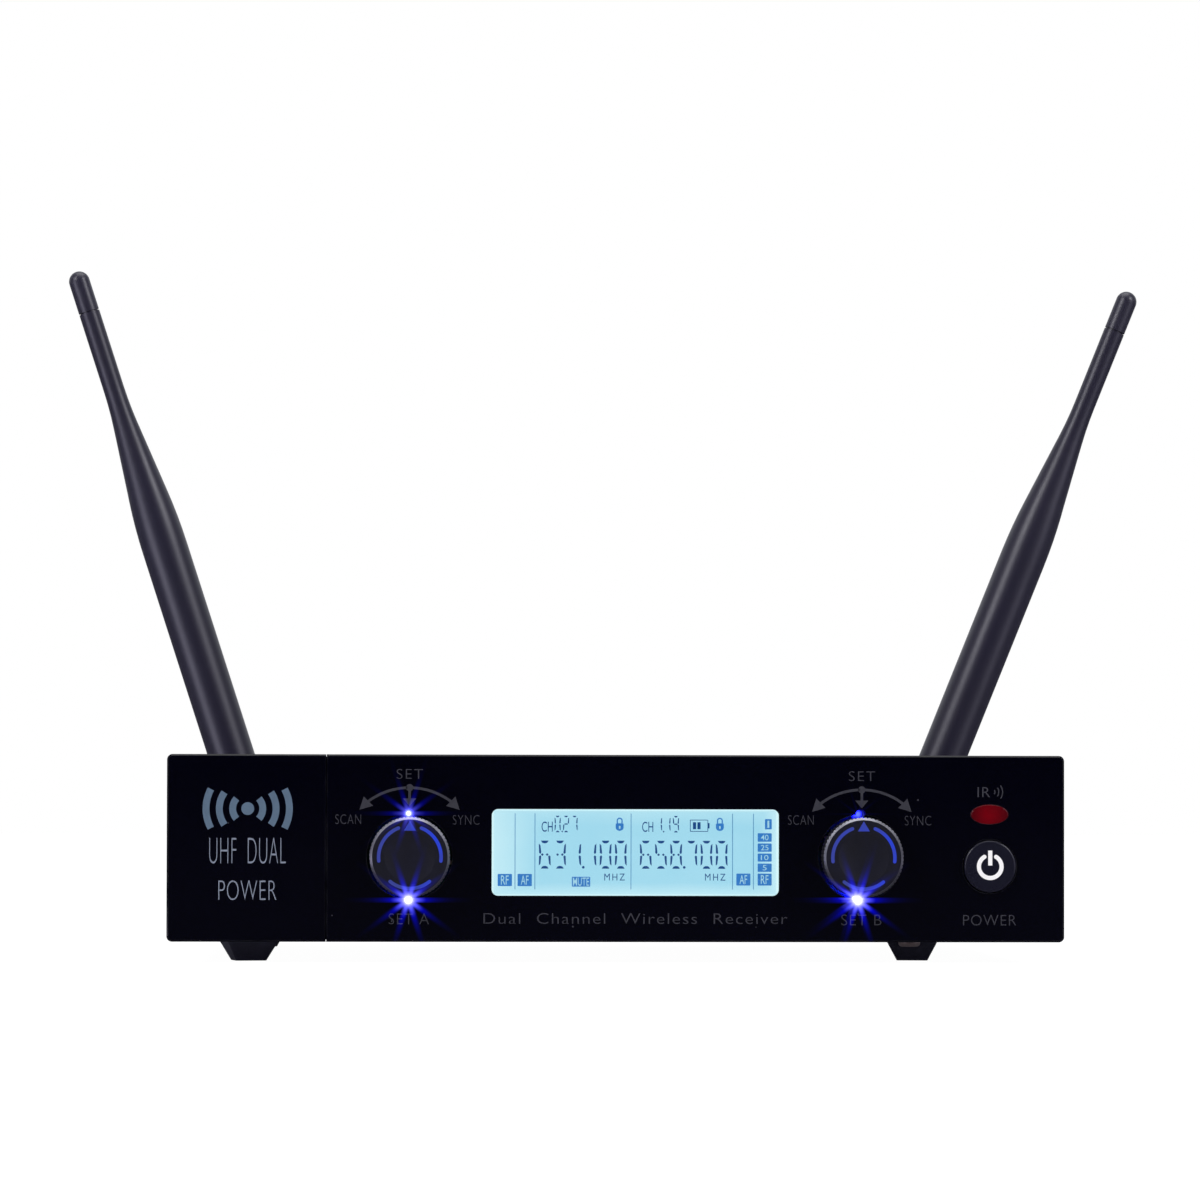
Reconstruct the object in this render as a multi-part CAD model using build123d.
from build123d import *

import math
import os

# A half-rack dual wireless microphone receiver, 1U high, with two folding whip aerials.
#
# Sizes are in millimetres. Everything is drawn in the case frame: X runs to the right from the
# middle of the front panel, Y runs back from the panel's front face, Z runs up from the desk.
# The last step moves each piece so that the origin is on the desk, at the middle of the whole
# object's outline, aerials included.

# ---------------------------------------------------------------- case and panel
panel_width = 210.0
panel_height = 43.7  # one rack unit
panel_corner = 1.3
panel_edge = 0.35  # bevel round the acrylic
overlay_thickness = 2.0
seam_gap = 0.12  # between the name plate and the main overlay
seam_bevel = 0.18
name_plate_width = 37.1
stand_height = 5.0  # desk to the panel's lower edge
case_depth = 152.0  # panel face to the rear wall's outer face
sheet = 1.0
fit_gap = 0.1  # sheet metal and drop-in pieces, each side
side_step = 2.0  # how far the panel stands out past the case, each side
top_step = 1.0  # the same, at the top and bottom
flange_height = 12.0
vent_count = 12
vent_pitch = 6.0
vent_width = 2.4
vent_length = 22.0
vent_x = 62.0
side_vent_length = 14.0
side_vent_rise = 5.0

bezel_inset = 0.5
bezel_depth = 12.0
bezel_face = 2.0
bezel_wall = 2.0
boss_radius = 2.6
boss_from_side = 8.0
boss_from_middle = 12.5
boss_floor = 1.0  # left at the foot of a boss's screw hole
lug_width = 8.0
lug_height = 4.1
lug_length = 5.0
lug_from_side = 40.0

# ---------------------------------------------------------------- display
display_x = 4.3
display_drop = 0.95  # below the panel's middle
window_width = 67.1
window_height = 20.1
window_corner = 1.5
window_gap = 0.05
display_width = 76.0
display_height = 28.0
display_rim = 0.5
display_lip = 0.4
display_lip_gap = 1.0  # from the window's edge to the frame's lip
glass_thickness = 2.2
backlight_thickness = 4.1
display_play = 0.05

# ---------------------------------------------------------------- knobs
knob_from_display = 52.8
knob_drop = 2.0
knob_radius = 9.35
knob_proud = 8.0
knob_bevel = 0.6
knob_tail = 0.3  # how far the skirt reaches into the panel
knob_wall = 1.5
knob_top = 2.5
dish_rim = 3.45  # flat rim and bevel round the dish
dish_depth = 0.6
knurl_count = 64
knurl_depth = 0.22
knurl_side = 0.35
hub_radius = 4.5
hub_tail = 0.5
knob_gap = 0.65  # panel hole round the knob
knob_travel = 1.0
knob_turn = 45.0
shaft_radius = 3.0
running_gap = 0.08
shaft_end_gap = 1.0  # left behind the pressed shaft
hub_gap = 0.3  # between the pressed knob's hub and the switch's bushing
inlay_depth = 0.4
arc_inset = 2.1  # from the knob's edge to the arcs' middle
arc_width = 0.8
arc_from = 21.5  # degrees from the pointer
arc_to = 97.0
low_arc = 39.0
pointer_inset = 0.85  # from the knob's edge to the pointer's tip
pointer_length = 2.35
pointer_width = 2.8

encoder_size = 12.4
encoder_depth = 6.4
bushing_radius = 3.9
rotor_radius = 5.0
rotor_thickness = 2.0
rotor_gap = 0.3
rotor_inset = 1.4  # from the switch's front
encoder_floor = 0.6

light_radius = 1.0
light_past_hole = 0.1  # lamp centres beyond the knob hole's edge
light_sunk = 0.15  # behind the pressed knob's skirt
light_gap = 0.12
led_height = 1.6
led_size = 2.4

# ---------------------------------------------------------------- power button and infrared port
column_from_side = 17.6
power_drop = 4.1
power_radius = 6.1
power_proud = 1.3
power_round = 0.5
power_travel = 1.2
power_gap = 0.25
power_flange = 0.9
power_flange_width = 0.9
stem_radius = 2.0
stem_length = 1.6
icon_outer = 3.15
icon_stroke = 0.98
icon_opening = 31.0  # half angle, degrees
icon_bar_top = 3.77
icon_bar_foot = 0.27
icon_depth = 0.5
switch_size = 6.2
plunger_radius = 1.75
plunger_length = 2.8
plunger_gap = 0.15
infrared_rise = 8.1
infrared_long = 4.35
infrared_short = 2.2
infrared_proud = 0.2
infrared_round = 0.16
infrared_gap = 0.1
infrared_rim = 0.7
emitter_radius = 1.5
emitter_front = 6.5
emitter_base = 1.5
emitter_rim = 0.4

# ---------------------------------------------------------------- boards
board_thickness = 1.6
front_board_height = 30.0
front_board_margin = 1.5  # inside the bezel's side walls
front_board_y = 11.0
main_board_margin = 8.0
main_board_front = 20.0
main_board_back = 6.0  # gap to the rear wall
standoff_height = 5.0
standoff_width = 5.5
board_hole_in = 7.0  # hole centres from the board's sides
board_hole_front = 16.0
board_hole_back = 18.0
board_hole_gap = 0.2  # round a screw's shank
header_width = 24.0
header_size = 6.0
ribbon_width = 20.0
ribbon_thickness = 1.0
ribbon_rise = 25.0
ribbon_bend = 4.5
main_header_y = 37.0
ribbon_hole_gap = 1.0  # round the front header, in the tray's wall
shield_length = 46.0
shield_width = 42.0
shield_height = 8.0
shield_wall = 0.5
shield_x = 40.0
heat_sink_x = 68.0
heat_sink_y = 46.0
heat_sink_width = 18.0
heat_sink_length = 20.0
heat_sink_base = 2.0
fin_count = 6
fin_thickness = 1.2
fin_height = 15.0
chip_height = 1.8
supply_from_end = 28.0  # the supply's capacitors, from the board's end
coax_radius = 0.9
coax_straight = 22.0  # the lead's first run, from the aerial socket's tail
coax_step = 4.0  # how far it has moved in from the socket's axis at its bend
coax_bend_back = 18.0  # that bend and the entry, behind the module's middle
coax_entry_back = 8.0
coax_entry_out = 12.0
coax_dip = 1.0
bend_share = 0.45

# ---------------------------------------------------------------- rear connectors
aerial_spacing = 172.2
xlr_places = (-50.0, -8.0)
xlr_flange_width = 26.0
xlr_flange_height = 31.0
xlr_flange = 2.0
xlr_flange_corner = 2.5
xlr_barrel = 11.6
xlr_depth = 20.0
xlr_cavity = 8.1
xlr_cavity_depth = 16.0
xlr_pin_radius = 1.2
xlr_pin_round = 0.72
xlr_pin_circle = 4.5
xlr_pin_angles = (45.0, 135.0, 270.0)
xlr_pin_short = 2.5  # tips below the flange face
xlr_pin_root = 4.0
xlr_screw_x = 9.5
xlr_screw_z = 12.0
jack_x = 30.0
jack_bore = 3.25
jack_bushing = 5.5
jack_proud = 6.0
jack_body = 16.0
jack_body_depth = 25.0
jack_bore_length = 30.0
dc_x = 58.0
dc_barrel = 4.4
dc_rim = 5.6
dc_rim_thickness = 1.5
dc_cavity = 2.85
dc_cavity_depth = 9.5
dc_pin = 1.05
dc_pin_short = 1.0  # tip below the rim's face
dc_body = 11.0
dc_body_depth = 13.0
nut_thickness = 2.5
jack_nut_wall = 2.0
socket_nut_wall = 1.7
hole_gap = 0.2  # holes in the rear wall

socket_barrel = 4.83
socket_wall = 0.73
socket_length = 12.0
socket_flange_width = 1.77
socket_flange_thickness = 1.2
socket_tail = 11.0
socket_core = 2.0
socket_contact = 0.7
socket_floor = 1.5  # left behind the bore, in front of the flange
core_short = 1.5  # the insulator's face below the barrel's end
lug_pin_radius = 0.95
lug_pin_height = 0.72
lug_pin_inset = 0.3  # from the bore to the pin's root, inside the barrel's wall
lug_pin_back = 4.0  # from the barrel's end

# ---------------------------------------------------------------- aerials
aerial_reach = 157.6  # hinge pin to tip
aerial_lean = {"a": -18.0, "b": 22.0}  # degrees from upright, positive to the right
sleeve_radius = 6.0
whip_radius = 2.74
sleeve_lift = 0.4  # the whip's foot clears the round knuckle
taper_foot = 88.0
taper_head = 120.0
taper_round_low = 140.0
taper_round_high = 100.0
cap_length = 11.0
cap_gap = 0.35
cap_gap_depth = 0.4
spigot_radius = 1.6
spigot_length = 6.4
tongue_thickness = 4.0
tongue_gap = 0.15
tongue_inset = 0.4
strap_inset = 0.6  # the strap's edges, in from the round eye's
foot_round = 0.7  # the whip's lower rim
hinge_pin_radius = 1.25
hinge_pin_gap = 0.05
hinge_pin_short = 0.6  # each end below the knuckle's side
ring_wall = 1.35
ring_start = 2.2  # from the rear wall
ring_length = 12.8
ring_play = 0.12  # round the socket's barrel
pocket_play = 0.3  # round the socket's lugs
ring_lip = 3.3
ring_tail = 1.4
ring_grooves = 24
ring_bevel = 0.5
groove_side = 0.7
groove_out = 0.1  # a groove's middle, out from the ring's side
groove_front = 3.0
groove_back = 2.0
plug_neck = 4.5
plug_play = 0.1
plug_sleeve_wall = 0.7
plug_pin = 0.5
plug_end_gap = 0.2
plug_sleeve_reach = 1.3  # into the socket
plug_pin_reach = 3.0  # past the sleeve
knuckle_length = 3.0

# ---------------------------------------------------------------- feet and fasteners
foot_top = 13.6
foot_bottom = 7.3
foot_corner = 0.7
foot_recess = 2.6
foot_recess_depth = 3.4
front_foot_y = 28.0  # the right one; the left one stands a little nearer the front
left_foot_y = 23.5
rear_foot_y = 138.0
# x, y and turn in degrees of each foot; each was turned a little as its screw was tightened
feet = (
    (-86.2, left_foot_y, 12.0),
    (72.0, front_foot_y, -6.0),
    (-84.5, rear_foot_y, 3.0),
    (84.5, rear_foot_y, -8.0),
)
m3 = 1.5
m3_head = 2.7
m3_head_height = 1.8
m2 = 1.0
m2_head = 1.9
m2_head_height = 1.2
cover_screw_front = 36.0  # from the bezel
cover_screw_back = 22.0  # from the rear wall
cover_head_height = 1.5
ear_hole = 2.1
ear_pitch = 20.0
ear_from_bezel = 10.0
ear_nut_radius = 3.4
ear_nut_length = 3.0
earth_screw_x = 70.3
earth_screw_y = 17.8
earth_head = 2.6
earth_head_height = 1.9
earth_washer = 3.2
earth_washer_thickness = 0.6
nut_half = 2.75
nut_height = 2.4
screw_play = 0.05
pilot_gap = 0.02  # round a screw in its plain pilot hole
short_screw = 5.0
long_screw = 6.0
head_round = 0.45  # a pan head's edge, as a share of the head's height
cross_span = 1.1  # the cross recess, as shares of the head's radius and height
cross_width = 0.24
cross_depth = 0.55
foot_head_gap = 0.3  # round a foot screw's head in its recess
foot_head_height = 1.6
overcut = 1.0  # how far a cutting block reaches past what it cuts

# ---------------------------------------------------------------- places worked out from the sizes
middle_z = stand_height + panel_height / 2
case_low = stand_height + top_step
case_high = stand_height + panel_height - top_step
case_half = panel_width / 2 - side_step
tray_half = case_half - sheet - fit_gap
bezel_back = overlay_thickness + bezel_depth
bezel_plate_back = overlay_thickness + bezel_face
wall_front = bezel_back + sheet
rear_in = case_depth - sheet
floor_z = case_low + sheet
tray_top = case_high - sheet - fit_gap

display_z = middle_z - display_drop
knob_z = middle_z - knob_drop
knobs = {"a": display_x - knob_from_display, "b": display_x + knob_from_display}
knob_hole = knob_radius + knob_gap
light_offset = knob_hole + light_past_hole
light_front = knob_tail + knob_travel + light_sunk
dish_radius = knob_radius - dish_rim
arc_radius = knob_radius - arc_inset
pointer_tip = knob_radius - pointer_inset
pointer_base = pointer_tip - pointer_length
column_x = panel_width / 2 - column_from_side
power_z = middle_z - power_drop
infrared_z = middle_z + infrared_rise
seam_x = name_plate_width - panel_width / 2

board_z = floor_z + standoff_height
board_top = board_z + board_thickness
main_board_half = case_half - main_board_margin
main_board_end = rear_in - main_board_back
bezel_half = panel_width / 2 - bezel_inset
bezel_half_height = panel_height / 2 - bezel_inset
front_board_half = bezel_half - bezel_wall - front_board_margin
boss_x = bezel_half - boss_from_side
lug_x = bezel_half - lug_from_side
lug_z = bezel_half_height - bezel_wall - lug_height / 2
side_hole_z = case_low + flange_height / 2
fold_radius = 0.9 * sheet

shield_y = (main_board_front + main_board_end) / 2
supply_y = main_board_end - supply_from_end
# x, y, radius and height
capacitor_places = (
    (14.0, supply_y, 4.0, 12.0),
    (48.0, supply_y, 5.0, 15.0),
    (62.0, supply_y, 4.0, 11.0),
    (-70.0, 50.0, 4.0, 11.0),
    (-56.0, 44.0, 4.0, 11.0),
)
# x, y, half width and half depth
chip_places = (
    (0.0, shield_y - 20.0, 7.0, 7.0),
    (0.0, shield_y, 5.0, 8.0),
    (0.0, shield_y + 18.0, 4.0, 5.0),
    (-36.0, 46.0, 6.0, 4.0),
    (30.0, 44.0, 5.0, 5.0),
)

socket_bore = socket_barrel - socket_wall
socket_flange = socket_barrel + socket_flange_width
lug_pin_reach = socket_barrel + lug_pin_height
lug_pin_root = socket_bore + lug_pin_inset
ring_bore = socket_barrel + ring_play
ring_pocket = lug_pin_reach + pocket_play
ring_radius = ring_pocket + ring_wall
plug_flange = ring_pocket - plug_play
plug_sleeve = socket_bore - plug_play
plug_sleeve_bore = plug_sleeve - plug_sleeve_wall
tongue_radius = sleeve_radius - tongue_inset
sleeve_start = sleeve_radius + sleeve_lift

aerials = {"a": -aerial_spacing / 2, "b": aerial_spacing / 2}
socket_end = case_depth + socket_length
hinge_y = case_depth + ring_start + ring_length + sleeve_radius + knuckle_length
cap_start = aerial_reach - cap_length

# the outline of the whole object at rest, and where its middle lies in the case frame
reach = {
    side: aerial_spacing / 2
    + (aerial_reach - whip_radius) * math.sin(math.radians(abs(lean)))
    + whip_radius
    for side, lean in aerial_lean.items()
}
origin_x = (reach["b"] - reach["a"]) / 2
origin_y = (hinge_y + sleeve_radius - knob_proud) / 2
to_origin = Location((-origin_x, -origin_y, 0))


# ---------------------------------------------------------------- helpers
def prism(sketch, front, back):
    """A sketch drawn in X and Z, as a solid from y = front to y = back."""
    return extrude(Plane.XZ.offset(-back) * sketch, back - front)


def rod(radius, front, back, x=0.0, z=0.0):
    """A round bar along Y."""
    return prism(Pos(x, z) * Circle(radius), front, back)


def post(radius, low, high, x=0.0, y=0.0):
    """A round bar along Z."""
    return Pos(x, y, (low + high) / 2) * Cylinder(radius, high - low)


def block(x, y, z):
    """A box from three (low, high) pairs."""
    middle = [(low + high) / 2 for low, high in (x, y, z)]
    return Pos(*middle) * Box(*[high - low for low, high in (x, y, z)])


def tube(outer, inner, front, back, x=0.0, z=0.0):
    """A round tube along Y."""
    return rod(outer, front, back, x, z) - rod(inner, front, back, x, z)


def join(shapes):
    """One shape from solids that touch or overlap."""
    first, *rest = shapes
    return first + rest if rest else first


def group(shapes):
    """Separate solids kept together as one node."""
    solids = [solid for shape in shapes for solid in shape.solids()]
    return Compound(children=solids)


def each_corner(x, z):
    """The four combinations of plus and minus x and z about the panel's middle."""
    return [(sx * x, middle_z + sz * z) for sx in (-1, 1) for sz in (-1, 1)]


def pan_screw(head, head_height, shank, length):
    """A pan-head screw along Z with the head's seat at z = 0, head up and shank down."""
    cap = Pos(0, 0, head_height / 2) * Cylinder(head, head_height)
    cap = fillet(cap.faces().sort_by(Axis.Z)[-1].edges(), head_height * head_round)
    body = cap + Pos(0, 0, -length / 2) * Cylinder(shank, length)
    for turn in (0, 90):
        slot = Rot(0, 0, turn) * Box(head * cross_span, head * cross_width, 2 * head_height * cross_depth)
        body -= Pos(0, 0, head_height) * slot
    return body


def from_behind(shape):
    """Turns a piece drawn along Z so that its top points to the back, along Y."""
    return Rot(-90, 0, 0) * shape


# ---------------------------------------------------------------- case
def make_tray():
    """Bottom, front wall, rear wall and side flanges, folded from one sheet."""
    depth = (bezel_back, case_depth)
    low_flange = (case_low, case_low + flange_height)
    tray = join(
        [
            block((-tray_half, tray_half), depth, (case_low, floor_z)),
            block((-tray_half, tray_half), (bezel_back, wall_front), (case_low, tray_top)),
            block((-tray_half, tray_half), (rear_in, case_depth), (case_low, tray_top)),
            block((-tray_half, -tray_half + sheet), depth, low_flange),
            block((tray_half - sheet, tray_half), depth, low_flange),
        ]
    )
    ribbon_hole = Rectangle(header_width + 2 * ribbon_hole_gap, header_size + 2 * ribbon_hole_gap)
    tray -= prism(Pos(0, ribbon_rise) * ribbon_hole, bezel_back, wall_front)
    for x, z in each_corner(lug_x, lug_z):
        tray -= rod(m2 + board_hole_gap, bezel_back, wall_front, x, z)
    for x in xlr_places:
        tray -= rod(xlr_barrel + hole_gap, rear_in, case_depth, x, middle_z)
        for side in (-1, 1):
            tray -= rod(
                m3 + fit_gap, rear_in, case_depth, x + side * xlr_screw_x, middle_z + side * xlr_screw_z
            )
    tray -= rod(jack_bushing + hole_gap, rear_in, case_depth, jack_x, middle_z)
    tray -= rod(dc_barrel + hole_gap, rear_in, case_depth, dc_x, middle_z)
    for x in aerials.values():
        tray -= rod(socket_barrel + hole_gap, rear_in, case_depth, x, middle_z)
    for x, y, _ in feet:
        tray -= post(m3 + fit_gap, case_low, floor_z, x, y)
    tray -= post(m3 + fit_gap, case_low, floor_z, earth_screw_x, earth_screw_y)
    for side in (-1, 1):
        for y in cover_screw_rows():
            tray -= side_hole(side, y, m3 - fit_gap, tray_half - sheet, tray_half)
        for y in ear_rows():
            tray -= side_hole(side, y, ear_hole, tray_half - sheet, tray_half)
    return tray


def cover_screw_rows():
    """How far back the cover's side screws are."""
    return (bezel_back + cover_screw_front, case_depth - cover_screw_back)


def ear_rows():
    """How far back the rack-ear holes are."""
    return (bezel_back + ear_from_bezel, bezel_back + ear_from_bezel + ear_pitch)


def side_hole(side, y, radius, inner, outer):
    """A round bar along X through one side of the case."""
    middle = side * (inner + outer) / 2
    return Pos(middle, y, side_hole_z) * Rot(0, 90, 0) * Cylinder(radius, outer - inner)


def make_top_cover():
    """Top and both sides, folded from one sheet, with ventilation slots."""
    depth = (bezel_back + fit_gap, case_depth)
    cover = join(
        [
            block((-case_half, case_half), depth, (case_high - sheet, case_high)),
            block((-case_half, -case_half + sheet), depth, (case_low, case_high)),
            block((case_half - sheet, case_half), depth, (case_low, case_high)),
        ]
    )
    fold = cover.edges().filter_by(Axis.Y).group_by(Axis.Z)[-1]
    cover = fillet(fold, fold_radius)
    vent_y = (wall_front + rear_in) / 2
    slot = extrude(SlotOverall(vent_length, vent_width), sheet)
    side_slot = extrude(Plane.YZ * SlotOverall(side_vent_length, vent_width, rotation=90), sheet)
    for step in range(vent_count):
        y = vent_y + (step - (vent_count - 1) / 2) * vent_pitch
        for x in (-vent_x, vent_x):
            cover -= Pos(x, y, case_high - sheet) * slot
        for x in (-case_half, case_half - sheet):
            cover -= Pos(x, y, middle_z + side_vent_rise) * side_slot
    for side in (-1, 1):
        for y in cover_screw_rows():
            cover -= side_hole(side, y, m3 + fit_gap, case_half - sheet, case_half)
        for y in ear_rows():
            cover -= side_hole(side, y, ear_hole, case_half - sheet, case_half)
    return cover


def make_cover_screws():
    """Four screws through the cover's sides into the tray's flanges."""
    screw = pan_screw(m3_head, cover_head_height, m3 - fit_gap, short_screw)
    found = []
    for side in (-1, 1):
        for y in cover_screw_rows():
            found.append(Pos(side * case_half, y, side_hole_z) * Rot(0, side * 90, 0) * screw)
    return group(found)


def make_ear_nuts():
    """Clinch nuts behind the rack-ear holes."""
    found = []
    for side in (-1, 1):
        inner = tray_half - sheet - ear_nut_length
        for y in ear_rows():
            nut = side_hole(side, y, ear_nut_radius, inner, tray_half - sheet)
            found.append(nut - side_hole(side, y, ear_hole, inner, tray_half - sheet))
    return group(found)


# ---------------------------------------------------------------- front panel
def knob_opening(extra=0.0):
    """The outline of a knob's hole with its two lamp notches, about the knob's axis."""
    hole = Circle(knob_hole + extra)
    for side in (-1, 1):
        hole += Pos(0, side * light_offset) * Circle(light_radius + light_gap + extra)
    return hole


def panel_openings(depth_range, display_outline):
    """All the cuts through the overlay or the bezel's face."""
    cuts = [prism(Pos(x, knob_z) * knob_opening(), *depth_range) for x in knobs.values()]
    cuts.append(rod(power_radius + power_gap, *depth_range, column_x, power_z))
    port = Ellipse(infrared_long + infrared_gap, infrared_short + infrared_gap)
    cuts.append(prism(Pos(column_x, infrared_z) * port, *depth_range))
    cuts.append(prism(Pos(display_x, display_z) * display_outline, *depth_range))
    return cuts


def make_overlay():
    """The acrylic front, before it is parted into the name plate and the main overlay."""
    outline = Pos(0, middle_z) * RectangleRounded(panel_width, panel_height, panel_corner)
    slab = prism(outline, 0, overlay_thickness)
    slab = chamfer(slab.faces().sort_by(Axis.Y)[0].edges(), panel_edge)
    window = RectangleRounded(
        window_width + 2 * window_gap, window_height + 2 * window_gap, window_corner
    )
    for cut in panel_openings((0, overlay_thickness), window):
        slab -= cut
    return slab


def part_overlay(slab, keep_right):
    """One side of the overlay, with a fine bevel along the seam."""
    edge = seam_x + (seam_gap if keep_right else -seam_gap) / 2
    sides = (edge, panel_width) if keep_right else (-panel_width, edge)
    depth = (-overcut, overlay_thickness + overcut)
    piece = slab & block(sides, depth, (0, stand_height + panel_height + overcut))
    seam_edge = (
        piece.faces()
        .filter_by(Plane.YZ)
        .sort_by(Axis.X)[0 if keep_right else -1]
        .edges()
        .filter_by(Axis.Z)
        .sort_by(Axis.Y)[0]
    )
    return chamfer(seam_edge, seam_bevel)


def make_front_bezel():
    """The moulded frame behind the overlay: face, rim, board bosses and screw lugs."""
    outline = RectangleRounded(2 * bezel_half, 2 * bezel_half_height, panel_corner)
    inner = Rectangle(2 * (bezel_half - bezel_wall), 2 * (bezel_half_height - bezel_wall))
    bezel = prism(Pos(0, middle_z) * outline, overlay_thickness, bezel_back)
    bezel -= prism(Pos(0, middle_z) * inner, bezel_plate_back, bezel_back)
    opening = Rectangle(display_width + 2 * fit_gap, display_height + 2 * fit_gap)
    for cut in panel_openings((overlay_thickness, bezel_plate_back), opening):
        bezel -= cut
    for x, z in each_corner(boss_x, boss_from_middle):
        bezel += rod(boss_radius, bezel_plate_back, front_board_y, x, z)
        bezel -= rod(m2 + pilot_gap, bezel_plate_back + boss_floor, front_board_y, x, z)
    for x, z in each_corner(lug_x, lug_z):
        lug = prism(Pos(x, z) * Rectangle(lug_width, lug_height), bezel_back - lug_length, bezel_back)
        bezel += lug
        bezel -= rod(m2 + pilot_gap, bezel_back - lug_length, bezel_back, x, z)
    return bezel


def make_bezel_screws():
    """Screws through the tray's front wall into the bezel's lugs."""
    screw = from_behind(pan_screw(m2_head, m2_head_height, m2, short_screw))
    return group([Pos(x, wall_front, z) * screw for x, z in each_corner(lug_x, lug_z)])


def make_display_window():
    """The clear window, flush with the overlay."""
    outline = RectangleRounded(window_width, window_height, window_corner - window_gap)
    return prism(Pos(display_x, display_z) * outline, 0, overlay_thickness)


def display_box(width, height, front, back):
    """A rectangular layer of the display."""
    return prism(Pos(display_x, display_z) * Rectangle(width, height), front, back)


def make_display_frame():
    """The folded metal frame that holds the display's layers against the overlay."""
    front = overlay_thickness + display_play
    frame = display_box(display_width, display_height, front, front_board_y)
    inside = (display_width - 2 * display_rim, display_height - 2 * display_rim)
    frame -= display_box(*inside, front + display_lip, front_board_y)
    seen = (window_width + 2 * display_lip_gap, window_height + 2 * display_lip_gap)
    frame -= display_box(*seen, front, front + display_lip)
    return frame


def display_layer(front, thickness):
    """A display layer that drops into the frame."""
    width = display_width - 2 * display_rim - 2 * fit_gap
    height = display_height - 2 * display_rim - 2 * fit_gap
    return display_box(width, height, front, front + thickness)


glass_front = overlay_thickness + display_play + display_lip + display_play
backlight_front = glass_front + glass_thickness + display_play


def make_front_board():
    """The board behind the panel."""
    outline = Rectangle(2 * front_board_half, front_board_height)
    board = prism(Pos(0, middle_z) * outline, front_board_y, front_board_y + board_thickness)
    for x, z in each_corner(boss_x, boss_from_middle):
        board -= rod(m2 + board_hole_gap, front_board_y, front_board_y + board_thickness, x, z)
    return board


# ---------------------------------------------------------------- knobs
def knob_marks(inset=0.0):
    """The pointer and three arcs, drawn about the knob's axis."""
    marks = []
    middle = arc_radius
    for start, end in ((90 - arc_to, 90 - arc_from), (90 + arc_from, 90 + arc_to)):
        marks.append(arc_band(middle, arc_width - 2 * inset, start, end))
    marks.append(arc_band(middle, arc_width - 2 * inset, 270 - low_arc, 270 + low_arc))
    half = pointer_width / 2
    pointer = Polygon((-half, pointer_base), (half, pointer_base), (0, pointer_tip), align=None)
    return marks + [pointer]


def arc_band(radius, width, start, end):
    """A flat band along an arc, with round ends."""
    return SlotArc(CenterArc((0, 0), radius, start, end - start), width)


def make_knob(side):
    """A turned aluminium knob: knurled skirt, bright bevel, flat rim and dished face."""
    x = knobs[side]
    back = knob_tail
    outline = Circle(knob_radius)
    notch = Rot(0, 0, 45) * Rectangle(knurl_side, knurl_side)
    notch_centre = knob_radius + knurl_side / math.sqrt(2) - knurl_depth
    outline -= PolarLocations(notch_centre, knurl_count) * notch
    plain = rod(knob_radius, -knob_proud, back)
    plain = chamfer(plain.faces().sort_by(Axis.Y)[0].edges(), knob_bevel)
    knob = prism(outline, -knob_proud, back) & plain
    knob -= rod(knob_radius - knob_wall, knob_top - knob_proud, back)
    knob += rod(hub_radius, knob_top - knob_proud, hub_tail)
    knob -= rod(shaft_radius, knob_top - knob_proud, hub_tail)
    bowl_radius = (dish_radius**2 + dish_depth**2) / (2 * dish_depth)
    knob -= Pos(0, dish_depth - knob_proud - bowl_radius, 0) * Sphere(bowl_radius)
    for mark in knob_marks():
        knob -= prism(mark, -knob_proud, inlay_depth - knob_proud)
    return Pos(x, 0, knob_z) * knob


def make_knob_inlays(side):
    """The pointer and arcs let into the knob's rim."""
    x = knobs[side]
    found = [prism(mark, -knob_proud, inlay_depth - knob_proud) for mark in knob_marks()]
    return group([Pos(x, 0, knob_z) * mark for mark in found])


def make_shaft(side):
    """The switch shaft: it turns and slides with the knob."""
    end = front_board_y - shaft_end_gap - knob_travel
    return rod(shaft_radius, knob_top - knob_proud, end, knobs[side], knob_z)


encoder_front = front_board_y - encoder_depth
bushing_front = hub_tail + knob_travel + hub_gap
rotor_front = encoder_front + rotor_inset


def make_encoder(side):
    """A rotary push switch on the front board, with its bushing."""
    x = knobs[side]
    bore = shaft_radius + running_gap
    back = front_board_y - encoder_floor
    body = prism(Pos(x, knob_z) * Rectangle(encoder_size, encoder_size), encoder_front, front_board_y)
    body += rod(bushing_radius, bushing_front, encoder_front, x, knob_z)
    body -= rod(bore, bushing_front, back, x, knob_z)
    body -= rod(
        rotor_radius + rotor_gap,
        rotor_front - rotor_gap,
        rotor_front + rotor_thickness + rotor_gap,
        x,
        knob_z,
    )
    return body


def make_rotor(side):
    """The contact disc inside the switch, which turns with the shaft but doesn't slide."""
    return tube(
        rotor_radius,
        shaft_radius + running_gap,
        rotor_front,
        rotor_front + rotor_thickness,
        knobs[side],
        knob_z,
    )


def lamp_places():
    """The two lamps of each knob."""
    return [(x, knob_z + side * light_offset) for x in knobs.values() for side in (-1, 1)]


def make_light_pipes():
    """Clear rods that bring the lamps' light to the panel face."""
    front, back = light_front, front_board_y - led_height
    return group([rod(light_radius, front, back, x, z) for x, z in lamp_places()])


def make_leds():
    """The lamps on the front board."""
    size = Rectangle(led_size, led_size)
    front = front_board_y - led_height
    return group([prism(Pos(x, z) * size, front, front_board_y) for x, z in lamp_places()])


# ---------------------------------------------------------------- power button and infrared port
def power_icon_outline():
    """The standby sign: an open ring and a bar."""
    middle = icon_outer - icon_stroke / 2
    ring = arc_band(middle, icon_stroke, 90 + icon_opening, 450 - icon_opening)
    bar_height = icon_bar_top - icon_bar_foot
    bar = Pos(0, icon_bar_foot + bar_height / 2) * Rectangle(icon_stroke, bar_height)
    return [ring, bar]


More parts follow.
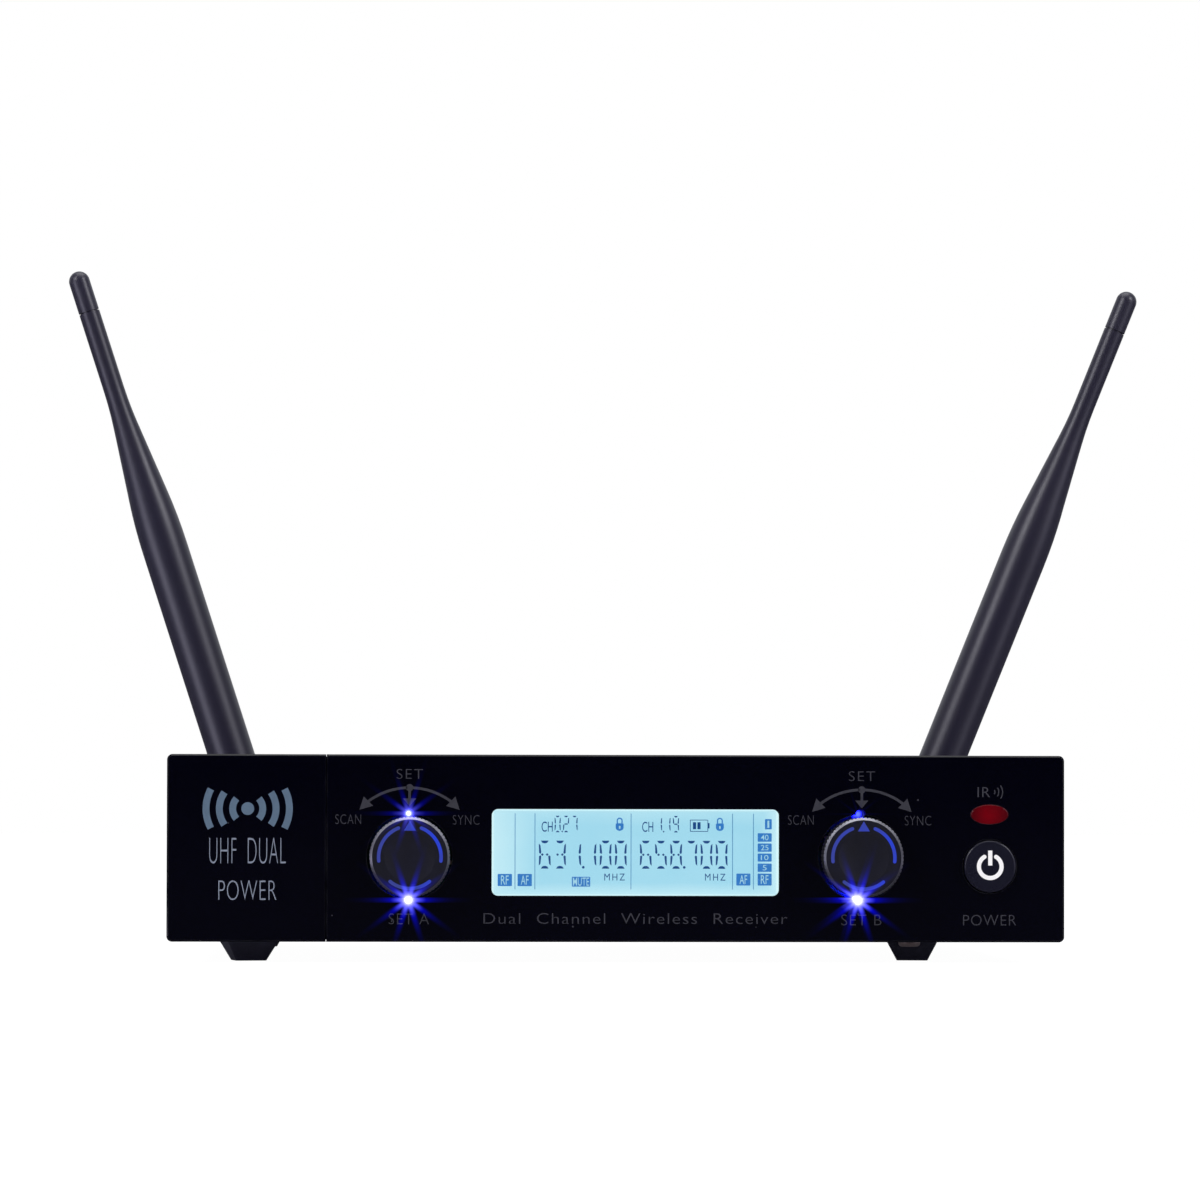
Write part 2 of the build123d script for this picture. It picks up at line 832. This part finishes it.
def make_power_button():
    """The button cap with its retaining flange and stem."""
    flange_front = bezel_plate_back + display_play
    cap = rod(power_radius, -power_proud, flange_front)
    cap = fillet(cap.faces().sort_by(Axis.Y)[0].edges(), power_round)
    cap += rod(power_radius + power_flange_width, flange_front, flange_front + power_flange)
    end = flange_front + power_flange + stem_length
    cap += rod(stem_radius, flange_front + power_flange, end)
    for mark in power_icon_outline():
        cap -= prism(mark, -power_proud, icon_depth - power_proud)
    return Pos(column_x, 0, power_z) * cap


stem_end = bezel_plate_back + display_play + power_flange + stem_length
switch_front = stem_end + power_travel + fit_gap


def make_power_icon():
    """The translucent standby sign let into the button."""
    found = [prism(mark, -power_proud, icon_depth - power_proud) for mark in power_icon_outline()]
    return group([Pos(column_x, 0, power_z) * mark for mark in found])


def make_plunger():
    """The switch's own plunger, which the button's stem rests on."""
    return rod(plunger_radius, stem_end, stem_end + plunger_length, column_x, power_z)


def make_power_switch():
    """The push switch on the front board."""
    size = Rectangle(switch_size, switch_size)
    body = prism(Pos(column_x, power_z) * size, switch_front, front_board_y)
    well = stem_end + plunger_length + power_travel + fit_gap
    return body - rod(plunger_radius + plunger_gap, switch_front, well, column_x, power_z)


def make_infrared_window():
    """The red port, with a flange behind the bezel's face."""
    lens = prism(Ellipse(infrared_long, infrared_short), -infrared_proud, bezel_plate_back)
    lens = fillet(lens.faces().sort_by(Axis.Y)[0].edges(), infrared_round)
    flange = Ellipse(infrared_long + infrared_rim, infrared_short + infrared_rim)
    lens += prism(flange, bezel_plate_back, bezel_plate_back + infrared_rim)
    return Pos(column_x, 0, infrared_z) * lens


def make_infrared_emitter():
    """The infrared lamp behind the port."""
    base = front_board_y - emitter_base
    lamp = rod(emitter_radius, emitter_front, base) + Pos(0, emitter_front, 0) * Sphere(emitter_radius)
    lamp += rod(emitter_radius + emitter_rim, base, front_board_y)
    return Pos(column_x, 0, infrared_z) * lamp


# ---------------------------------------------------------------- boards and what is on them
def board_holes():
    """The main board's mounting holes."""
    x = main_board_half - board_hole_in
    rows = (main_board_front + board_hole_front, main_board_end - board_hole_back)
    return [(side * x, y) for side in (-1, 1) for y in rows]


def make_main_board():
    """The main board on its standoffs."""
    depth = (main_board_front, main_board_end)
    board = block((-main_board_half, main_board_half), depth, (board_z, board_top))
    for x, y in board_holes():
        board -= post(m3 + board_hole_gap, board_z, board_top, x, y)
    return board


def make_standoffs():
    """Hexagonal standoffs pressed into the tray."""
    hexagon = RegularPolygon(standoff_width / 2, 6, major_radius=False)
    bar = extrude(hexagon, standoff_height) - Pos(0, 0, standoff_height / 2) * Cylinder(
        m3, standoff_height
    )
    return group([Pos(x, y, floor_z) * bar for x, y in board_holes()])


def make_board_screws():
    """Screws that hold both boards."""
    down = pan_screw(m3_head, m3_head_height, m3 - pilot_gap, short_screw)
    found = [Pos(x, y, board_top) * down for x, y in board_holes()]
    flat = from_behind(pan_screw(m2_head, m2_head_height, m2, long_screw))
    for x, z in each_corner(boss_x, boss_from_middle):
        found.append(Pos(x, front_board_y + board_thickness, z) * flat)
    return group(found)


def make_headers():
    """The ribbon's two board headers."""
    half = header_width / 2
    start = front_board_y + board_thickness
    rise = (ribbon_rise - header_size / 2, ribbon_rise + header_size / 2)
    front = block((-half, half), (start, start + header_size), rise)
    seat = (main_header_y - header_size / 2, main_header_y + header_size / 2)
    main = block((-half, half), seat, (board_top, board_top + header_size))
    return group([front, main])


def make_ribbon():
    """The flat cable between the boards, bent once."""
    start = front_board_y + board_thickness + header_size
    low = board_top + header_size
    line = FilletPolyline(
        (start, ribbon_rise), (main_header_y, ribbon_rise), (main_header_y, low), radius=ribbon_bend
    )
    line = Plane.YZ * line
    section = Plane(origin=line @ 0, x_dir=(1, 0, 0), z_dir=line % 0)
    return sweep(section * Rectangle(ribbon_width, ribbon_thickness), path=line)


def make_shields():
    """The two receiver modules' shielding cans."""
    top = board_top + shield_height
    inner_x, inner_y = shield_width / 2 - shield_wall, shield_length / 2 - shield_wall
    found = []
    for side in (-1, 1):
        x = side * shield_x
        can = block(
            (x - shield_width / 2, x + shield_width / 2),
            (shield_y - shield_length / 2, shield_y + shield_length / 2),
            (board_top, top),
        )
        can -= block(
            (x - inner_x, x + inner_x),
            (shield_y - inner_y, shield_y + inner_y),
            (board_top, top - shield_wall),
        )
        found.append(can)
    return group(found)


def make_heat_sink():
    """The supply regulator's finned sink."""
    left, right = heat_sink_x - heat_sink_width / 2, heat_sink_x + heat_sink_width / 2
    depth = (heat_sink_y - heat_sink_length / 2, heat_sink_y + heat_sink_length / 2)
    sink = block((left, right), depth, (board_top, board_top + heat_sink_base))
    for step in range(fin_count):
        fin = left + step * (heat_sink_width - fin_thickness) / (fin_count - 1)
        sink += block((fin, fin + fin_thickness), depth, (board_top, board_top + fin_height))
    return sink


def make_capacitors():
    """Electrolytic capacitors near the supply."""
    return group([post(r, board_top, board_top + h, x, y) for x, y, r, h in capacitor_places])


def make_chips():
    """Integrated circuits on the main board."""
    rise = (board_top, board_top + chip_height)
    return group([block((x - w, x + w), (y - d, y + d), rise) for x, y, w, d in chip_places])


def bend_radii(points):
    """The largest tangent arc that each corner of a route has room for."""
    found = []
    for before, here, after in zip(points, points[1:], points[2:]):
        one, two = Vector(*here) - Vector(*before), Vector(*after) - Vector(*here)
        turn = math.radians(one.get_angle(two))
        found.append(bend_share * min(one.length, two.length) / math.tan(turn / 2))
    return found


def make_coax(side):
    """The thin screened lead from an aerial socket to its receiver module."""
    direction = -1 if side == "a" else 1
    x = direction * aerial_spacing / 2
    wall = direction * (shield_x + shield_width / 2)
    low = board_top + shield_height / 2
    points = [
        (x, case_depth - socket_tail, middle_z),
        (x, case_depth - socket_tail - coax_straight, middle_z),
        (x - direction * coax_step, shield_y + coax_bend_back, low + coax_dip),
        (wall + direction * coax_entry_out, shield_y + coax_entry_back, low),
        (wall, shield_y + coax_entry_back, low),
    ]
    radii = bend_radii(points)
    print("coax", side, "bend radii", [round(r, 1) for r in radii])
    line = FilletPolyline(*points, radius=radii)
    return sweep(Plane(origin=line @ 0, z_dir=line % 0) * Circle(coax_radius), path=line)


# ---------------------------------------------------------------- rear connectors
def make_xlr_shells():
    """Chassis connectors with three pins: flange outside, barrel inside."""
    found = []
    for x in xlr_places:
        outer = case_depth + xlr_flange
        flange = RectangleRounded(xlr_flange_width, xlr_flange_height, xlr_flange_corner)
        shell = prism(Pos(x, middle_z) * flange, case_depth, outer)
        shell += rod(xlr_barrel, case_depth - xlr_depth, case_depth, x, middle_z)
        shell -= rod(xlr_cavity, outer - xlr_cavity_depth, outer, x, middle_z)
        for px, pz in xlr_pin_places(x):
            shell -= rod(xlr_pin_radius, xlr_root(), outer, px, pz)
        for side in (-1, 1):
            hole = (x + side * xlr_screw_x, middle_z + side * xlr_screw_z)
            shell -= rod(m3 + fit_gap, case_depth, outer, *hole)
        found.append(shell)
    return group(found)


def xlr_pin_places(x):
    """Pin centres of one connector."""
    places = []
    for angle in xlr_pin_angles:
        turn = math.radians(angle)
        places.append((x + xlr_pin_circle * math.cos(turn), middle_z + xlr_pin_circle * math.sin(turn)))
    return places


def xlr_root():
    """Where the pins start inside the insert."""
    return case_depth + xlr_flange - xlr_cavity_depth - xlr_pin_root


def make_xlr_pins():
    """The contact pins."""
    tip = case_depth + xlr_flange - xlr_pin_short
    found = []
    for x in xlr_places:
        for px, pz in xlr_pin_places(x):
            pin = rod(xlr_pin_radius, xlr_root(), tip, px, pz)
            found.append(fillet(pin.faces().sort_by(Axis.Y)[-1].edges(), xlr_pin_round))
    return group(found)


def make_xlr_screws():
    """Two screws in each connector's flange."""
    screw = from_behind(pan_screw(m3_head, m3_head_height, m3, long_screw))
    found = []
    for x in xlr_places:
        for side in (-1, 1):
            place = (x + side * xlr_screw_x, case_depth + xlr_flange, middle_z + side * xlr_screw_z)
            found.append(Pos(*place) * screw)
    return group(found)


def make_jack_socket():
    """The 6.35 mm jack: body inside, threaded bushing through the rear wall."""
    mouth = case_depth + jack_proud
    size = Rectangle(jack_body, jack_body)
    jack = prism(Pos(jack_x, middle_z) * size, rear_in - jack_body_depth, rear_in)
    jack += rod(jack_bushing, rear_in, mouth, jack_x, middle_z)
    return jack - rod(jack_bore, mouth - jack_bore_length, mouth, jack_x, middle_z)


def hex_nut(width, bore, front, back, x):
    """A hexagonal nut along Y."""
    hexagon = Pos(x, middle_z) * RegularPolygon(width / 2, 6, major_radius=False)
    return prism(hexagon, front, back) - rod(bore, front, back, x, middle_z)


def make_socket_nuts():
    """The nuts of the jack and of both aerial sockets."""
    width = 2 * (jack_bushing + jack_nut_wall)
    nuts = [hex_nut(width, jack_bushing, case_depth, case_depth + nut_thickness, jack_x)]
    width = 2 * (socket_barrel + socket_nut_wall)
    for x in aerials.values():
        nuts.append(hex_nut(width, socket_barrel, rear_in - nut_thickness, rear_in, x))
    return group(nuts)


def make_dc_socket():
    """The low-voltage supply socket with its centre pin."""
    mouth = case_depth + dc_rim_thickness
    size = Rectangle(dc_body, dc_body)
    body = prism(Pos(dc_x, middle_z) * size, rear_in - dc_body_depth, rear_in)
    body += rod(dc_barrel, rear_in, case_depth, dc_x, middle_z)
    body += rod(dc_rim, case_depth, mouth, dc_x, middle_z)
    body -= rod(dc_cavity, mouth - dc_cavity_depth, mouth, dc_x, middle_z)
    pin = rod(dc_pin, mouth - dc_cavity_depth, mouth - dc_pin_short, dc_x, middle_z)
    return group([body, pin])


def make_aerial_sockets():
    """Bayonet sockets for the aerials."""
    found = []
    for x in aerials.values():
        rim = case_depth + socket_flange_thickness
        bore_start = rim + socket_floor
        body = rod(socket_barrel, case_depth - socket_tail, socket_end)
        body += rod(socket_flange, case_depth, rim)
        body -= tube(socket_bore, socket_core, bore_start, socket_end)
        body -= rod(socket_contact, bore_start, socket_end)
        body -= rod(socket_bore, socket_end - core_short, socket_end)
        for side in (-1, 1):
            lug = Cylinder(lug_pin_radius, lug_pin_reach - lug_pin_root)
            middle = side * (lug_pin_reach + lug_pin_root) / 2
            body += Pos(middle, socket_end - lug_pin_back, 0) * Rot(0, 90, 0) * lug
        found.append(Pos(x, 0, middle_z) * body)
    return group(found)


# ---------------------------------------------------------------- aerials
def lean_in_place(shape, side):
    """Puts a piece drawn about an upright aerial's hinge pin where that aerial stands."""
    return Pos(aerials[side], 0, middle_z) * Rot(0, aerial_lean[side], 0) * shape


def make_bayonet_ring(side):
    """The coupling ring that turns round the socket and holds the plug."""
    start = case_depth + ring_start
    end = start + ring_length
    ring = rod(ring_radius, start, end)
    ring = chamfer(ring.edges().filter_by(GeomType.CIRCLE), ring_bevel)
    notch = Pos(ring_radius + groove_out) * Rot(0, 0, 45) * Rectangle(groove_side, groove_side)
    groove = prism(notch, start + groove_front, end - groove_back)
    ring -= [Rot(0, step * 360 / ring_grooves, 0) * groove for step in range(ring_grooves)]
    ring -= rod(ring_bore, start, start + ring_lip)
    ring -= rod(ring_pocket, start + ring_lip, end - ring_tail)
    ring -= rod(plug_neck + hole_gap, end - ring_tail, end)
    return lean_in_place(ring, side)


def make_plug(side):
    """The aerial's plug: contact sleeve, flange, neck and the forked knuckle."""
    ring_end = case_depth + ring_start + ring_length
    flange_back = ring_end - ring_tail - fit_gap
    flange_front = socket_end + plug_end_gap
    knuckle = ring_end + plug_end_gap
    sleeve_front = socket_end - plug_sleeve_reach
    body = tube(plug_sleeve, plug_sleeve_bore, sleeve_front, flange_front)
    body += rod(plug_flange, flange_front, flange_back)
    body += rod(plug_pin, sleeve_front - plug_pin_reach, flange_front)
    body += rod(plug_neck, flange_back, knuckle)
    body += rod(sleeve_radius, knuckle, hinge_y)
    body += Pos(0, hinge_y, 0) * Sphere(sleeve_radius)
    half = tongue_thickness / 2 + tongue_gap
    slot_front = hinge_y - tongue_radius - 2 * tongue_gap
    past = sleeve_radius + overcut
    body -= block((-half, half), (slot_front, hinge_y + past), (-past, past))
    body -= Pos(0, hinge_y, 0) * Rot(0, 90, 0) * Cylinder(hinge_pin_radius, 2 * past)
    return lean_in_place(body, side)


def make_hinge_pin(side):
    """The pin through the knuckle."""
    length = 2 * (sleeve_radius - hinge_pin_short)
    pin = Pos(0, hinge_y, 0) * Rot(0, 90, 0) * Cylinder(hinge_pin_radius, length)
    return lean_in_place(pin, side)


def make_sleeve(side):
    """The flexible whip: a straight grip, a long taper and a thin upper stretch."""
    top = cap_start - cap_gap
    outline = FilletPolyline(
        (sleeve_radius, sleeve_start),
        (sleeve_radius, taper_foot),
        (whip_radius, taper_head),
        (whip_radius, top),
        radius=(taper_round_low, taper_round_high),
    )
    closing = Polyline(
        outline @ 1,
        (whip_radius - cap_gap_depth, top),
        (whip_radius - cap_gap_depth, cap_start),
        (spigot_radius, cap_start),
        (spigot_radius, cap_start + spigot_length),
        (0, cap_start + spigot_length),
        (0, sleeve_start),
        outline @ 0,
    )
    profile = make_face(outline + closing)
    whip = revolve(Plane.XZ * profile, Axis.Z)
    low_rim = whip.edges().filter_by(GeomType.CIRCLE).sort_by(Axis.Z)[0]
    whip = fillet(low_rim, foot_round)
    tongue_half = tongue_thickness / 2
    eye = Rot(0, 90, 0) * Cylinder(tongue_radius, tongue_thickness)
    strap_half = tongue_radius - strap_inset
    strap = block((-tongue_half, tongue_half), (-strap_half, strap_half), (0, sleeve_start + overcut))
    hole = Rot(0, 90, 0) * Cylinder(hinge_pin_radius + hinge_pin_gap, 2 * sleeve_radius)
    whip = whip + eye + strap - hole
    return lean_in_place(Pos(0, hinge_y, 0) * whip, side)


def make_tip_cap(side):
    """The round cap on the whip's end."""
    length = cap_length - whip_radius
    cap = Pos(0, 0, cap_start + length / 2) * Cylinder(whip_radius, length)
    cap += Pos(0, 0, cap_start + length) * Sphere(whip_radius)
    cap -= Pos(0, 0, cap_start + spigot_length / 2) * Cylinder(spigot_radius, spigot_length)
    return lean_in_place(Pos(0, hinge_y, 0) * cap, side)


# ---------------------------------------------------------------- feet
def make_feet():
    """Square tapered rubber feet, each held by a screw."""
    low = Rectangle(foot_bottom, foot_bottom)
    high = Pos(0, 0, case_low) * Rectangle(foot_top, foot_top)
    foot = loft([low, high])
    slanted = [edge for edge in foot.edges() if abs(edge.tangent_at(0.5).Z) > 0.5]
    foot = fillet(slanted, foot_corner)
    foot -= post(foot_recess, 0, foot_recess_depth) + post(m3 + fit_gap, 0, case_low)
    return group([Pos(x, y, 0) * Rot(0, 0, turn) * foot for x, y, turn in feet])


def make_foot_screws():
    """The feet's screws, with their heads up inside the recesses, and their nuts."""
    screw = Rot(180, 0, 0) * pan_screw(
        foot_recess - foot_head_gap, foot_head_height, m3 - screw_play, short_screw
    )
    found = []
    for x, y, _ in feet:
        found += [Pos(x, y, foot_recess_depth) * screw, floor_nut(x, y)]
    return group(found)


def floor_nut(x, y):
    """A hexagonal nut on the tray's floor."""
    nut = extrude(RegularPolygon(nut_half, 6, major_radius=False), nut_height)
    return Pos(x, y, floor_z) * (nut - post(m3, 0, nut_height))


def make_earth_screw():
    """The earth-bonding screw under the tray, with its washer."""
    washer = post(earth_washer, case_low - earth_washer_thickness, case_low)
    washer -= post(m3, case_low - earth_washer_thickness, case_low)
    screw = Rot(180, 0, 0) * pan_screw(earth_head, earth_head_height, m3 - screw_play, long_screw)
    screw = Pos(0, 0, case_low - earth_washer_thickness) * screw
    place = Pos(earth_screw_x, earth_screw_y, 0)
    return group([place * washer, place * screw, floor_nut(earth_screw_x, earth_screw_y)])


# ---------------------------------------------------------------- every node
def make_nodes():
    """All the object's pieces by name."""
    slab = make_overlay()
    nodes = {
        "tray": make_tray(),
        "top_cover": make_top_cover(),
        "cover_screws": make_cover_screws(),
        "name_plate": part_overlay(slab, False),
        "panel_overlay": part_overlay(slab, True),
        "front_bezel": make_front_bezel(),
        "bezel_screws": make_bezel_screws(),
        "display_window": make_display_window(),
        "display_frame": make_display_frame(),
        "display_glass": display_layer(glass_front, glass_thickness),
        "display_backlight": display_layer(backlight_front, backlight_thickness),
        "front_board": make_front_board(),
        "light_pipes": make_light_pipes(),
        "indicator_leds": make_leds(),
        "power_button": make_power_button(),
        "power_icon": make_power_icon(),
        "power_plunger": make_plunger(),
        "power_switch": make_power_switch(),
        "infrared_window": make_infrared_window(),
        "infrared_emitter": make_infrared_emitter(),
        "main_board": make_main_board(),
        "clinch_fittings": group([make_standoffs(), make_ear_nuts()]),
        "board_screws": make_board_screws(),
        "headers": make_headers(),
        "ribbon_cable": make_ribbon(),
        "receiver_shields": make_shields(),
        "heat_sink": make_heat_sink(),
        "capacitors": make_capacitors(),
        "chips": make_chips(),
        "aerial_leads": group([make_coax("a"), make_coax("b")]),
        "xlr_shells": make_xlr_shells(),
        "xlr_pins": make_xlr_pins(),
        "xlr_screws": make_xlr_screws(),
        "jack_socket": make_jack_socket(),
        "socket_nuts": make_socket_nuts(),
        "dc_socket": make_dc_socket(),
        "aerial_sockets": make_aerial_sockets(),
        "feet": make_feet(),
        "foot_screws": make_foot_screws(),
        "earth_screw": make_earth_screw(),
    }
    for side in ("a", "b"):
        nodes[f"knob_{side}"] = make_knob(side)
        nodes[f"knob_{side}_inlays"] = make_knob_inlays(side)
        nodes[f"knob_{side}_shaft"] = make_shaft(side)
        nodes[f"encoder_{side}"] = make_encoder(side)
        nodes[f"encoder_{side}_rotor"] = make_rotor(side)
        nodes[f"aerial_{side}_ring"] = make_bayonet_ring(side)
        nodes[f"aerial_{side}_plug"] = make_plug(side)
        nodes[f"aerial_{side}_hinge_pin"] = make_hinge_pin(side)
        nodes[f"aerial_{side}_whip"] = make_sleeve(side)
        nodes[f"aerial_{side}_tip"] = make_tip_cap(side)
    return nodes


def main():
    """Builds every node, moves it to the part's own origin and writes it."""
    os.makedirs("parts", exist_ok=True)
    nodes = make_nodes()
    for name, shape in nodes.items():
        solids = [to_origin * solid for solid in shape.solids()]
        moved = solids[0] if len(solids) == 1 else Compound(children=solids)
        export_step(moved, f"parts/{name}.step")
    print(len(nodes), "nodes")


main()
